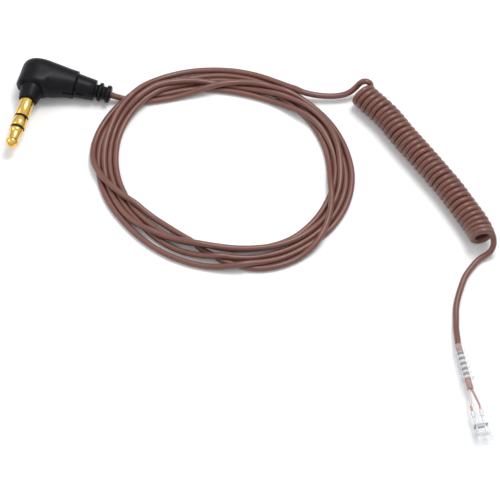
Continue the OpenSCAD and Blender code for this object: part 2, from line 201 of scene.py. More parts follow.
class ConnectorSettings(bpy.types.PropertyGroup):
    """Sizes and colours of the headset connector"""

    length: FloatProperty(
        name="Length", description="From the cord's entry to the mouth", default=0.0242, unit="LENGTH"
    )
    relief_length: FloatProperty(
        name="Relief length", description="Length of the ribbed strain relief", default=0.0089, unit="LENGTH"
    )
    width: FloatProperty(
        name="Width", description="Width of the body's straight end", default=0.0063, unit="LENGTH"
    )
    height: FloatProperty(
        name="Height", description="Height of the body's straight end", default=0.005, unit="LENGTH"
    )
    tint: FloatVectorProperty(
        name="Tint",
        description="Colour of the clear plastic",
        default=(0.8, 0.83, 0.87),
        subtype="COLOR",
    )


class StageSettings(bpy.types.PropertyGroup):
    """Camera, lights and floor"""

    elevation: FloatProperty(
        name="Elevation", description="Height angle of the camera", default=math.radians(59), subtype="ANGLE"
    )
    distance: FloatProperty(name="Distance", description="Camera to aim point", default=0.6, unit="LENGTH")
    lens: FloatProperty(name="Lens", description="Focal length in millimetres", default=184.75)
    aim: FloatVectorProperty(
        name="Aim",
        description="Point on the floor that the camera looks at",
        default=(0.0014, 0.0, 0.0),
        subtype="XYZ",
    )
    key_power: FloatProperty(
        name="Key light", description="Power of the key light", default=1.75, unit="POWER"
    )
    sky: FloatProperty(name="Sky", description="Strength of the surrounding light", default=0.84)


# ---------------------------------------------------------------- curves and meshes


def unit(vectors):
    """Each row divided by its length."""
    return vectors / np.linalg.norm(vectors, axis=-1, keepdims=True)


def spline(knots, values, at):
    """Natural cubic spline: the smooth curve through the values at the knots, read at new places."""
    knots = np.asarray(knots, float)
    values = np.asarray(values, float).reshape(len(knots), -1)
    step = np.diff(knots)
    count = len(knots)
    matrix = np.eye(count)
    right = np.zeros_like(values)
    inner = np.arange(1, count - 1)
    matrix[inner, inner - 1] = step[:-1]
    matrix[inner, inner] = 2 * (step[:-1] + step[1:])
    matrix[inner, inner + 1] = step[1:]
    slope = np.diff(values, axis=0) / step[:, None]
    right[1:-1] = 6 * np.diff(slope, axis=0)
    bend = np.linalg.solve(matrix, right)
    cell = np.clip(np.searchsorted(knots, at, side="right") - 1, 0, count - 2)
    width = step[cell][:, None]
    ahead = (knots[cell + 1] - at)[:, None]
    behind = (at - knots[cell])[:, None]
    return (
        (bend[cell] * ahead**3 + bend[cell + 1] * behind**3) / (6 * width)
        + (values[cell] / width - bend[cell] * width / 6) * ahead
        + (values[cell + 1] / width - bend[cell + 1] * width / 6) * behind
    )


def run_length(points):
    """Distance along a polyline at each of its points, from zero."""
    return np.concatenate([[0.0], np.cumsum(np.linalg.norm(np.diff(points, axis=0), axis=1))])


def smooth_route(points, spacing):
    """Evenly spaced points on the smooth curve through the given ones."""
    points = np.asarray(points, float)
    along = run_length(points)
    fine = spline(along, points, np.linspace(0, along[-1], 12 * len(points)))
    reach = run_length(fine)
    even = np.linspace(0, reach[-1], int(reach[-1] / spacing) + 1)
    return np.column_stack([np.interp(even, reach, fine[:, axis]) for axis in range(3)])


def make_mesh(name, points, quads, caps, uvs=None):
    """Mesh of a grid's points with its quads, flat end caps and, if given, a UV for each quad corner."""
    mesh = bpy.data.meshes.new(name)
    mesh.from_pydata(points.tolist(), [], quads.tolist() + [cap.tolist() for cap in caps])
    if uvs is not None:
        layer = mesh.uv_layers.new(name="route")
        corners = np.zeros((len(mesh.loops), 2), np.float32)
        corners[: len(uvs)] = uvs
        layer.data.foreach_set("uv", corners.ravel())
    mesh.polygons.foreach_set("use_smooth", np.ones(len(mesh.polygons), bool))
    mesh.update()
    piece = bpy.data.objects.new(name, mesh)
    bpy.context.scene.collection.objects.link(piece)
    return piece


def grid_piece(name, rings, loop=False, uvs=None):
    """Closed surface from a grid of points, rings by sides: neighbouring rings are joined all round.

    A looped grid joins its last ring to its first; otherwise both ends are closed with a flat face.
    """
    count, sides = rings.shape[:2]
    ring, side = np.meshgrid(np.arange(count if loop else count - 1), np.arange(sides), indexing="ij")
    after = (ring + 1) % count
    beside = (side + 1) % sides
    quads = np.stack(
        [ring * sides + side, ring * sides + beside, after * sides + beside, after * sides + side], -1
    )
    caps = [] if loop else [np.arange(sides)[::-1], (count - 1) * sides + np.arange(sides)]
    return make_mesh(name, rings.reshape(-1, 3), quads.reshape(-1, 4), caps, uvs)


def swept_tube(name, path, radius, sides, lift):
    """Round tube along a path: each ring is the circle of the radius square to the path.

    lift points away from the path at each point, and sets where the tube's seam runs. The UV map holds
    the share of the way round and the distance along, in metres.
    """
    ahead = unit(np.gradient(path, axis=0))
    rise = unit(lift - np.sum(lift * ahead, axis=1, keepdims=True) * ahead)
    across = np.cross(ahead, rise)
    angle = np.arange(sides) * 2 * math.pi / sides
    rings = path[:, None] + radius * (
        np.cos(angle)[None, :, None] * rise[:, None] + np.sin(angle)[None, :, None] * across[:, None]
    )
    along = run_length(path)
    ring, side = np.meshgrid(np.arange(len(path) - 1), np.arange(sides), indexing="ij")
    corners = [(side, ring), (side + 1, ring), (side + 1, ring + 1), (side, ring + 1)]
    uvs = np.stack([np.stack([s / sides, along[r]], -1) for s, r in corners], 2).reshape(-1, 2)
    return grid_piece(name, rings, uvs=uvs)


class Placement:
    """A local frame: its origin, in metres, and its three axes, all given in the part's frame."""

    def __init__(self, origin, x_axis, y_axis, z_axis):
        self.origin = np.asarray(origin, float)
        self.axes = np.array([x_axis, y_axis, z_axis], float)

    def put(self, local):
        """Local points, in millimetres, moved into the part's frame in metres."""
        return self.origin + MM * np.asarray(local, float) @ self.axes


def local_sections(stations, sides):
    """Grid of superellipse sections across the x axis, in millimetres.

    Each station is (x, half width, half height, exponent): y and z are the half sizes times the cosine
    and sine of the angle, each raised to 2 / exponent with its sign kept. Exponent 2 is a round section.
    """
    x, wide, high, power = (np.asarray(column, float)[:, None] for column in zip(*stations))
    angle = np.arange(sides)[None] * 2 * math.pi / sides
    cosine, sine = np.cos(angle), np.sin(angle)
    y = wide * np.sign(cosine) * np.abs(cosine) ** (2 / power)
    z = high * np.sign(sine) * np.abs(sine) ** (2 / power)
    return np.stack([np.broadcast_to(x, y.shape), y, z], -1)


def sections(stations, sides, place):
    """The grid of superellipse sections, moved to its place in metres."""
    return place.put(local_sections(stations, sides))


def round_stations(profile):
    """Stations of round sections from (x, radius) pairs."""
    return [(x, radius, radius, 2) for x, radius in profile]


def finish_piece(piece, material, replaced=()):
    """Gives a new piece its body and material, and hides the CAD nodes it stands for."""
    piece.data.materials.append(material)
    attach(piece, "root")
    if replaced:
        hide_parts(*replaced)


# ---------------------------------------------------------------- shader maths


class Value:
    """A shader socket that takes part in sums with numbers and other sockets."""

    def __init__(self, tree, socket):
        self.tree = tree
        self.socket = socket

    def _math(self, operation, first, second):
        """Adds a Math node and returns its result."""
        node = self.tree.nodes.new("ShaderNodeMath")
        node.operation = operation
        for place, term in enumerate((first, second)):
            if isinstance(term, Value):
                self.tree.links.new(term.socket, node.inputs[place])
            else:
                node.inputs[place].default_value = term
        return Value(self.tree, node.outputs[0])

    def __add__(self, other):
        return self._math("ADD", self, other)

    def __radd__(self, other):
        return self._math("ADD", other, self)

    def __sub__(self, other):
        return self._math("SUBTRACT", self, other)

    def __rsub__(self, other):
        return self._math("SUBTRACT", other, self)

    def __mul__(self, other):
        return self._math("MULTIPLY", self, other)

    def __rmul__(self, other):
        return self._math("MULTIPLY", other, self)

    def __pow__(self, other):
        return self._math("POWER", self, other)

    def above(self, level):
        """1 where the value is over the level, otherwise 0."""
        return self._math("GREATER_THAN", self, level)

    def wave(self, length):
        """Smooth wave between 0 and 1 that repeats after each length."""
        return 0.5 + 0.5 * self._math("SINE", self * (2 * math.pi / length), 0.0)


class Finish:
    """A material with one Principled shader, and short ways to add nodes to it."""

    def __init__(self, name, **constants):
        self.material = bpy.data.materials.new(name)
        self.material.use_nodes = True
        self.tree = self.material.node_tree
        self.shader = self.tree.nodes["Principled BSDF"]
        for socket, value in constants.items():
            self.shader.inputs[socket.replace("_", " ")].default_value = value

    def node(self, kind, settings=None, inputs=None):
        """Adds a node: its settings first, then the values or links of its sockets."""
        node = self.tree.nodes.new(kind)
        for name, setting in (settings or {}).items():
            setattr(node, name, setting)
        for name, value in (inputs or {}).items():
            socket = node.inputs[name]
            if isinstance(value, Value):
                self.tree.links.new(value.socket, socket)
            elif isinstance(value, bpy.types.NodeSocket):
                self.tree.links.new(value, socket)
            else:
                socket.default_value = value
        return node

    def value(self, socket):
        """A node's socket as a value that can be calculated with."""
        return Value(self.tree, socket)

    def object_point(self):
        """The place on the piece, in metres."""
        return self.node("ShaderNodeTexCoord").outputs["Object"]

    def route_point(self, stretch):
        """The cord's own UV, with the way round scaled to match the distance along."""
        uv = self.node("ShaderNodeUVMap", {"uv_map": "route"}).outputs["UV"]
        return self.node("ShaderNodeMapping", inputs={"Vector": uv, "Scale": stretch}).outputs["Vector"]

    def noise(self, point, scale, detail):
        """Soft random pattern between 0 and 1."""
        node = self.node("ShaderNodeTexNoise", inputs={"Vector": point, "Scale": scale, "Detail": detail})
        return self.value(node.outputs["Fac"])

    def blend(self, factor, first, second):
        """Colour between two colours, by a factor; each is a plain colour or another node's."""
        colours = [c if isinstance(c, bpy.types.NodeSocket) else (*c, 1) for c in (first, second)]
        inputs = {0: factor, 6: colours[0], 7: colours[1]}
        return self.node("ShaderNodeMix", {"data_type": "RGBA"}, inputs).outputs[2]

    def facing(self):
        """0 where the surface faces the eye, 1 where it turns away."""
        return self.value(self.node("ShaderNodeLayerWeight", inputs={"Blend": 0.5}).outputs["Facing"])

    def feed(self, socket, source):
        """Links a value or a node's output to a socket of the shader."""
        output = source.socket if isinstance(source, Value) else source
        self.tree.links.new(output, self.shader.inputs[socket])

    def bump(self, height, strength, distance):
        """Fine relief from a height pattern."""
        inputs = {"Height": height, "Strength": strength, "Distance": distance}
        self.feed("Normal", self.node("ShaderNodeBump", inputs=inputs).outputs["Normal"])


def cord_finish(cord):
    """Satin jacket: two browns in soft patches, a fine drawn grain along the cord."""
    finish = Finish("cord_jacket", Specular_IOR_Level=0.6)
    point = finish.route_point((0.0045, 1, 1))
    patches = finish.noise(point, 160, 4)
    grain = finish.noise(finish.route_point((0.0045, 0.25, 1)), 5200, 2)
    finish.feed("Base Color", finish.blend(patches * 0.75 + grain * 0.35, cord.dark, cord.light))
    finish.feed("Roughness", 0.28 + grain * 0.2)
    finish.bump(grain * 0.7 + patches * 0.3, 0.35, 0.00004)
    return finish.material


def cord_end_finish(cord):
    """The jacket's browns on a straight end that has no route of its own."""
    finish = Finish("cord_end_jacket", Specular_IOR_Level=0.45)
    patches = finish.noise(finish.object_point(), 700, 4)
    finish.feed("Base Color", finish.blend(patches, cord.dark, cord.light))
    finish.feed("Roughness", 0.4 + patches * 0.15)
    finish.bump(patches, 0.2, 0.00003)
    return finish.material


def gold_finish(name, gold, shaft_turn):
    """Bright plating with faint turning marks round the shaft and small tonal patches."""
    finish = Finish(name, Metallic=1.0)
    point = finish.object_point()
    turned = finish.node(
        "ShaderNodeMapping",
        inputs={"Vector": point, "Rotation": (0, 0, shaft_turn), "Scale": (0.15, 1, 0.15)},
    ).outputs["Vector"]
    marks = finish.noise(turned, 9000, 2)
    patches = finish.noise(point, 500, 2)
    deep = tuple(channel * share for channel, share in zip(gold, (0.86, 0.78, 0.6)))
    finish.feed("Base Color", finish.blend(patches, deep, gold))
    finish.feed("Roughness", 0.13 + marks * 0.1)
    finish.bump(marks, 0.12, 0.00002)
    return finish.material


def moulded_finish(name, colour, rough, grain_size):
    """Moulded plastic: a fine even grain, and slightly lighter patches where it has been handled."""
    finish = Finish(name, Specular_IOR_Level=0.13)
    point = finish.object_point()
    grain = finish.noise(point, 1 / grain_size, 3)
    worn = finish.noise(point, 260, 3)
    lighter = tuple(min(1.0, channel * 1.35 + 0.003) for channel in colour)
    finish.feed("Base Color", finish.blend(worn, colour, lighter))
    finish.feed("Roughness", rough - 0.06 + worn * 0.08 + grain * 0.05)
    finish.bump(grain, 0.22, 0.00003)
    return finish.material


def clear_finish(name, tint, body, rim):
    """Clear plastic: nearly see-through face on, more solid at its sides, and near black with painted shade
    where the edge attribute marks its edges.
    """
    finish = Finish(name, Specular_IOR_Level=0.5, Coat_Weight=0.2)
    haze = finish.noise(finish.object_point(), 420, 3)
    # Painted shade: where the edge attribute marks an edge, the plastic turns solid and near black
    edge = finish.value(finish.node("ShaderNodeAttribute", {"attribute_name": "edge"}).outputs["Fac"])
    finish.feed("Alpha", body + haze * 0.05 + finish.facing() ** 2.5 * rim + edge * 0.95)
    plastic = finish.blend(haze, tint, (0.9, 0.92, 0.94))
    finish.feed("Base Color", finish.blend(edge, plastic, (0.02, 0.02, 0.02)))
    finish.feed("Roughness", 0.08 + haze * 0.1)
    return finish.material


def rim_shaded_finish(name, face, side, rough):
    """A small piece seen through clear plastic: its own colour face on, with painted shade darkening it
    where it turns away.
    """
    finish = Finish(name, Specular_IOR_Level=0.4)
    patches = finish.noise(finish.object_point(), 1500, 2)
    # Painted shade: the colour goes to the dark second colour where the surface turns away from the eye
    finish.feed("Base Color", finish.blend(finish.facing() ** 1.6 + patches * 0.15, face, side))
    finish.feed("Roughness", rough + patches * 0.15)
    return finish.material


def metal_finish(name, colour, rough, scale):
    """Bare metal with a fine streaked grain."""
    finish = Finish(name, Metallic=1.0)
    streaks = finish.noise(finish.object_point(), scale, 2)
    finish.feed("Base Color", finish.blend(streaks, tuple(channel * 0.7 for channel in colour), colour))
    finish.feed("Roughness", rough + streaks * 0.15)
    finish.bump(streaks, 0.2, 0.00003)
    return finish.material


# ---------------------------------------------------------------- places


def plug_place(plug):
    """Frame at the elbow's middle: x along the arm, y away from the point, z up, with the arm's droop."""
    mount = MOUNTS["jack_plug"]
    point_way = np.array(mount["axis"], float)
    sleeve_half = mount["dims"]["length_mm"] / 2 * MM
    origin = np.array(mount["pos_m"]) - point_way * (plug.shoulder + sleeve_half)
    y_axis = -point_way
    level = np.cross(y_axis, UP)
    x_axis = math.cos(plug.arm_droop) * level - math.sin(plug.arm_droop) * UP
    return Placement(origin, x_axis, y_axis, np.cross(x_axis, y_axis))


def shaft_place(plug):
    """Frame of the contact shaft: x from the elbow's middle towards the point."""
    elbow = plug_place(plug)
    x_axis, y_axis, z_axis = -elbow.axes[1], elbow.axes[0], elbow.axes[2]
    return Placement(elbow.origin, x_axis, y_axis, z_axis)


def connector_place(connector):
    """Frame of the connector: x from the cord's entry to the mouth."""
    mount = MOUNTS["headset_socket"]
    x_axis = unit(np.array(mount["axis"], float))
    origin = np.array(mount["pos_m"]) - x_axis * connector.length
    return Placement(origin, x_axis, np.cross(UP, x_axis), UP)


# ---------------------------------------------------------------- cord


def ring_points():
    """The hand-laid turns: radius and layer at each station, turned into points, in millimetres."""
    radii, layers = (np.concatenate([turn[part] for turn in TURNS]) for part in (0, 1))
    angle = np.radians(FIRST_STATION + STATION_STEP * np.arange(len(radii)))
    x = RING_CENTRE[0] + radii * np.cos(angle)
    y = RING_CENTRE[1] + RING_SQUASH * radii * np.sin(angle)
    return np.column_stack([x, y, LOWEST_LAYER + LAYER_RISE * layers])


def eased(values, reach):
    """Values along a path averaged with a bell-shaped weight over the given number of points."""
    offsets = np.arange(-3 * reach, 3 * reach + 1)
    weight = np.exp(-0.5 * (offsets / reach) ** 2)
    weight /= weight.sum()
    padded = np.pad(values, ((3 * reach, 3 * reach), (0, 0)), mode="edge")
    columns = range(values.shape[1])
    return np.column_stack([np.convolve(padded[:, axis], weight, "valid") for axis in columns])


def settle(path, diameter):
    """Strands that cross or touch are moved apart to one diameter, sink a little and stay smooth.

    In each round, two points that aren't close along the cord but are nearer than a diameter are each
    pushed half of the overlap along the line between them. Each point's shift is the average push on it,
    less the sink, eased along the cord. The ends keep their places, and nothing goes under the floor.
    """
    held_start, held_end, ramp = 5, 22, 8
    rounds, last_rounds, sink = 220, 40, 0.012
    over_push, pull_home = 1.5, 0.995
    along = run_length(path)
    free = np.clip(np.minimum(along - held_start, along[-1] - held_end - along) / ramp, 0, 1)[:, None]
    path = path + free * (eased(path, 6) - path)
    gap = np.linalg.norm(path[:, None, :2] - path[None, :, :2], axis=-1)
    apart = np.abs(along[:, None] - along[None])
    first, second = np.nonzero(np.triu((gap < 3 * diameter) & (apart > 4 * diameter)))
    home = path.copy()
    shift = np.zeros_like(path)
    for turn in range(rounds):
        between = path[first] - path[second]
        distance = np.linalg.norm(between, axis=1)
        push = np.clip(diameter * 1.01 - distance, 0, None)
        part = between / distance[:, None] * (push / 2)[:, None]
        touches = np.bincount(first, push > 0, len(path)) + np.bincount(second, push > 0, len(path))
        total = np.column_stack(
            [
                np.bincount(first, part[:, axis], len(path)) - np.bincount(second, part[:, axis], len(path))
                for axis in range(3)
            ]
        )
        shift = shift + free * over_push * total / np.maximum(touches, 1)[:, None]
        shift[:, 2] -= sink * free[:, 0]
        if turn < rounds - last_rounds:
            shift = shift + free * 0.35 * (eased(shift, 4) - shift)
            shift[:, :2] *= pull_home
        else:
            shift = shift + free * 0.3 * (eased(shift, 2) - shift)
        path = home + shift
        path[:, 2] = np.maximum(path[:, 2], diameter / 2 + 0.01)
        shift = path - home
    return path


def curl(cord):
    """Helix about the bent axis: the radius turns left-handed round it while it moves along.

    Two slow sine waves along the axis open and close the turns a little. Returns the points in
    millimetres and the direction from the axis to each of them.
    """
    steps_per_turn = 24
    first_angle = math.radians(110)
    turns = cord.curly_turns - 20 / 360
    count = int(turns * steps_per_turn)
    share = np.linspace(0, 1, count)
    axis = np.array(CURLY_AXIS)
    along = run_length(axis)
    centre = spline(along, axis, share * along[-1])
    ahead = unit(np.gradient(centre, axis=0))
    left = np.cross(UP, ahead)
    angle = first_angle + 2 * math.pi * turns * share
    slack = 0.06 * np.sin(angle / 5.3) + 0.04 * np.sin(angle / 2.7)
    out = np.cos(angle)[:, None] * UP + np.sin(angle)[:, None] * left
    points = centre + (cord.curly_radius / MM) * out + slack[:, None] * ahead
    points[:, 2] = np.maximum(points[:, 2], cord.diameter / MM / 2 + 0.005)
    return points, out


def cord_path(cord):
    """The whole cord from the plug to the connector: its points in metres and its seam's direction."""
    diameter = cord.diameter / MM
    laying_step, final_step = 0.8, 0.6
    helix, out = curl(cord)
    laid = smooth_route(np.vstack([PLUG_ROUTE, ring_points(), CURLY_ROUTE, helix[2:3]]), laying_step)
    lead = smooth_route(settle(laid, diameter), final_step)
    tail = smooth_route(np.vstack([helix[-2:-1], TAIL_ROUTE]), final_step)
    points = np.vstack([lead[:-1], helix[2:-2], tail[1:]])
    lift_lead = np.tile(UP, (len(lead) - 1, 1))
    lift_tail = out[-1] + np.linspace(0, 1, len(tail) - 1)[:, None] ** 0.5 * 3 * UP
    lift = np.vstack([lift_lead, out[2:-2], lift_tail])
    blur = np.ones(5) / 5
    lift = np.column_stack([np.convolve(lift[:, axis], blur, "same") for axis in range(3)])
    return points * MM, unit(lift)


def make_cord(settings):
    """The cord as one tube from the plug to the connector; the connector's pieces are gathered but not
    attached to it.
    """
    connector = [bpy.data.objects[name] for name in ("connector_shell", "connector_relief")]
    connector += [NODES[name] for name in CONNECTOR_INSIDE]
    path, lift = cord_path(settings)
    piece = swept_tube("cord", path, settings.diameter / 2, settings.sides, lift)
    finish_piece(
        piece, cord_finish(settings),
        ("plug_lead", "ring_coil", "curly_lead", "curly_cord", "tail_lead"),
    )


# ---------------------------------------------------------------- plug


def closed_turned(name, profile, place, sides=64):
    """Ring-shaped solid: a closed outline of (x, radius) pairs turned round the local x axis."""
    return grid_piece(name, sections(round_stations(profile), sides, place), loop=True)


def make_contacts(plug):
    """The tip, ring and sleeve contacts and the two black bands, each turned from its outline."""
    shaft = shaft_place(plug)
    turn = -math.atan2(shaft.axes[0][1], shaft.axes[0][0])
    gold = gold_finish("contact_gold", plug.gold, turn)
    black = moulded_finish("band_black", (0.012, 0.012, 0.012), 0.4, 0.00012)
    radius = 1.75
    edge = 0.08
    sleeve_end, ring_start, ring_end, tip_start, point = 12.75, 13.3, 15.9, 16.45, 21.8
    rod, tube, bore = 0.5, 0.95, 1.3
    tip = [
        (0.3, rod), (tip_start, rod), (tip_start, 1.62), (tip_start + edge, 1.7), (tip_start + 0.7, 1.7),
        (tip_start + 0.8, 1.62), (tip_start + 1.1, 1.44), (tip_start + 1.3, 1.4), (point - 2.4, 1.28),
        (point - 2.1, 1.34), (point - 1.75, 1.58), (point - 1.55, 1.62), (point - 1.3, 1.56),
        (point - 0.8, 1.2), (point - 0.4, 0.82), (point - 0.15, 0.46), (point, 0.06),
    ]
    piece = grid_piece("contact_tip", sections(round_stations(tip), 64, shaft))
    finish_piece(piece, gold, ("plug_tip",))
    for name, low, high, inner, node in (
        ("contact_ring", ring_start, ring_end, tube - 0.25, "plug_ring"),
        ("contact_sleeve", plug.shoulder / MM - 2.2, sleeve_end, bore, "plug_sleeve"),
    ):
        outline = [
            (low, inner), (low, radius - edge), (low + edge, radius), (high - edge, radius),
            (high, radius - edge), (high, inner),
        ]
        finish_piece(closed_turned(name, outline, shaft), gold, (node,))
    for name, low, high, inner, node in (
        ("band_tip", ring_end + 0.02, tip_start - 0.02, rod + 0.03, "tip_band"),
        ("band_ring", sleeve_end + 0.02, ring_start - 0.02, tube + 0.03, "ring_band"),
    ):
        outline = [(low, inner), (low, radius - 0.03), (high, radius - 0.03), (high, inner)]
        finish_piece(closed_turned(name, outline, shaft), black, (node,))


def elbow_rings(plug):
    """Head and arm as one skin across the local x axis.

    At each x the outline reaches back and front along y by two smooth curves and up and down along z by a
    third: a circle's height over the head, easing into the round arm. Back and front halves are
    superellipses with their own exponents, so the head's front rim is crisp and its back is rounded. A
    narrow slot is let into the front by the arm's end.
    """
    head = plug.head_radius / MM
    end = plug.arm_length / MM
    head_x = -head * np.cos(np.linspace(0.06, math.pi / 2, 22))
    arm_high = 3.25
    slot_length, slot_half, slot_depth = 2.31, 0.34, 1.9
    before_slot = np.linspace(0.15, end - 2.36, 26)
    x = np.concatenate([head_x, before_slot, np.linspace(end - 2.3, end, 12)])[:, None]
    back_knots = [-4.05, -3.8, -3.3, -2.6, -1.6, 0.0, 2.0, 4.3, 7.0, 9.7]
    back = spline(back_knots, [1.4, 2.05, 2.65, 3.05, 3.38, 3.66, 3.84, 3.8, 3.52, 3.38], x[:, 0])
    front_knots = [-4.05, -3.7, -2.0, 0.0, 1.2, 2.6, 3.8, 5.4, 7.4, 9.7]
    front = spline(front_knots, [4.05, 4.38, 4.42, 4.42, 4.45, 4.78, 4.82, 4.5, 3.72, 3.35], x[:, 0])
    round_head = np.sqrt(np.clip(head**2 - np.minimum(x, 0) ** 2, 0.02, None))
    ease = np.clip((x - 0.5) / (end - 0.5), 0, 1)
    high = round_head * (1 - ease) + arm_high * ease
    soft = np.clip((x - 0.6) / 3.4, 0, 1)
    soft = soft * soft * (3 - 2 * soft)
    back_power = 2.7 * (1 - soft) + 2.25 * soft
    front_power = 7.0 * (1 - soft) + 2.1 * soft
    angle = (np.arange(MOULD_SIDES) * 2 * math.pi / MOULD_SIDES)[None]
    cosine, sine = np.cos(angle), np.sin(angle)
    power = np.where(cosine > 0, back_power, front_power)
    reach = np.where(cosine > 0, back, -front)
    y = reach * np.abs(cosine) ** (2 / power)
    z = high * np.sign(sine) * np.abs(sine) ** (2 / power)
    slot = (x > end - slot_length) & (cosine < 0) & (np.abs(z - SLOT_RISE) < slot_half)
    y = np.where(slot, y + slot_depth, y)
    return plug_place(plug).put(np.stack([np.broadcast_to(x, y.shape), y, z], -1))


def relief_rings(plug):
    """Smooth sleeve, two rounded ribs and the neck between them: one outline turned round the arm.

    The sleeve's front carries the second half of the mould's slot, let in along y.
    """
    start = plug.arm_length / MM + 0.05
    sleeve_end = start + 4.75
    bore, neck = 0.8, 1.62
    slot_half, slot_depth = 0.3, 1.6
    first_rib = (sleeve_end + 0.85, sleeve_end + 1.85, 2.3)
    end_rib = (sleeve_end + 2.75, sleeve_end + 3.95, 2.15)
    profile = [
        (start, bore), (start, 2.85), (start + 0.1, 2.95), (start + 0.6, 2.92), (start + 0.7, 2.91),
        (start + 2.5, 2.74), (start + 2.6, 2.73), (sleeve_end - 0.12, 2.55), (sleeve_end, 2.43),
        (sleeve_end, neck),
    ]
    for low, high, radius in (first_rib, end_rib):
        profile += [
            (low, neck), (low + 0.04, radius - 0.3), (low + 0.22, radius - 0.05), (low + 0.4, radius),
            (high - 0.4, radius), (high - 0.22, radius - 0.05), (high - 0.04, radius - 0.3), (high, neck),
        ]
    profile.append((end_rib[1], bore))
    rings = local_sections(round_stations(profile), MOULD_SIDES)
    slot = (rings[..., 0] > start + 0.65) & (rings[..., 0] < start + 2.55) & (rings[..., 1] < 0)
    slot &= np.abs(rings[..., 2] - SLOT_RISE) < slot_half
    rings[..., 1] += np.where(slot, slot_depth, 0.0)
    return plug_place(plug).put(rings)


def make_plug_body(plug):
    """Head-and-arm skin, the collar turned round the shaft's axis, and the strain relief."""
    black = moulded_finish("plug_moulding", plug.black, 0.37, 0.00016)
    shaft = shaft_place(plug)
    elbow = grid_piece("plug_elbow", elbow_rings(plug))
    finish_piece(elbow, black, ("plug_body",))
    shoulder = plug.shoulder / MM
    collar = [
        (3.2, 1.0), (3.2, 3.0), (4.3, 2.98), (4.7, 2.93), (6.0, 2.62), (shoulder - 0.25, 2.34),
        (shoulder - 0.08, 2.28), (shoulder, 2.15), (shoulder, 1.8), (shoulder - 0.35, 1.78),
        (shoulder - 0.35, 1.0),
    ]
    finish_piece(closed_turned("plug_collar", collar, shaft), black)
    relief = grid_piece("plug_relief", relief_rings(plug))
    finish_piece(relief, black, ("plug_strain_relief",))
    return black


# ---------------------------------------------------------------- connector


def paint_edge_shade(piece, marks):
    """Stores the painted shade along the piece's edges as the edge attribute, one value for each point of
    the grid.
    """
    layer = piece.data.attributes.new("edge", "FLOAT", "POINT")
    layer.data.foreach_set("value", np.asarray(marks, np.float32).ravel())


def make_connector(settings):
    """Clear body with its socket, and the ribbed clear strain relief.

    The body's sections ease from round at the relief to a rounded rectangle at the mouth, then go back
    inside as the walls and the floor of the socket. The relief is a turned outline whose radius grows
    evenly along it and drops at each groove.
    """
    place = connector_place(settings)
    mouth = settings.length / MM
    start = settings.relief_length / MM
    wide, high = settings.width / MM / 2, settings.height / MM / 2
    socket_wide, socket_high, floor = 1.55, 1.1, mouth - 3.4
    x = np.linspace(start + 0.35, start + 8.4, 14)
    ease = (x - x[0]) / (x[-1] - x[0])
    ease = ease * ease * (3 - 2 * ease)
    stations = [(start, 0.8, 0.8, 2), (start, 1.6, 1.6, 2), (start + 0.1, 1.75, 1.75, 2)]
    stations += [(a, 1.8 + (wide - 1.8) * e, 1.8 + (high - 1.8) * e, 2 + 0.8 * e) for a, e in zip(x, ease)]
    stations += [
        (mouth - 0.6, wide, high, 2.8), (mouth - 0.25, wide - 0.05, high - 0.05, 2.8),
        (mouth - 0.06, wide - 0.2, high - 0.2, 2.8), (mouth, wide - 0.4, high - 0.4, 2.8),
    ]
    outside = len(stations)
    stations += [(mouth, socket_wide + 0.1, socket_high + 0.1, 8)]
    stations += [
        (at, socket_wide, socket_high, 8)
        for at in (mouth - 0.1, floor + 2.1, floor + 2, floor + 1.85, floor + 0.35, floor + 0.2, floor + 0.1)
    ]
    stations += [(floor, socket_wide - 0.1, socket_high - 0.1, 8), (floor, 0.2, 0.15, 2)]
    sides = 72
    angle = np.arange(sides) * 2 * math.pi / sides
    # Strength of the painted edge shade round a section: full on the lower side, weaker on the upper side
    below = np.where(np.sin(angle) < 0.2, 1.0, 0.35)
    corner = (np.cos(angle) < 0) & (np.abs(np.abs(np.cos(angle)) - 0.71) < 0.07)
    # Painted shade: dark lines on the mouth's rim, the socket's corners and the edge of its floor, weaker on
    # the upper side
    marks = np.zeros((len(stations), sides))
    marks[outside : outside + 2] = 0.2 * below
    marks[outside + 3 : outside + 8] = corner
    marks[outside + 3] = below
    marks[outside + 7 : outside + 9] = below
    body = grid_piece("connector_shell", sections(stations, sides, place))
    paint_edge_shade(body, marks)
    clear = clear_finish("clear_body", settings.tint, 0.05, 0.3)
    finish_piece(body, clear, ("connector_body",))

    pitch, groove, grooves, first = 1.35, 0.5, 5, 1.7
    outline = [(0.0, 0.76), (0.0, 1.12), (0.12, 1.25)]
    for number in range(grooves + 1):
        low = first + (number - 1) * pitch + groove if number else 0.3
        top = first + number * pitch if number < grooves else start - 0.15
        at = np.array([low, low + 0.12, top - 0.12, top])
        radius = 1.25 + 0.45 * at / start
        outline += [(at[0], 1.1), (at[0], radius[0] - 0.08), (at[1], radius[1]), (at[2], radius[2])]
        outline += [(at[3], radius[3] - 0.08), (at[3], 1.1)]
    outline += [(start - 0.02, 1.6), (start - 0.02, 0.76)]
    relief = closed_turned("connector_relief", outline, place, 48)
    paint_edge_shade(relief, np.zeros((len(outline), 48)))
    clear = clear_finish("clear_relief", settings.tint, 0.08, 0.25)
    finish_piece(relief, clear, ("connector_strain_relief",))


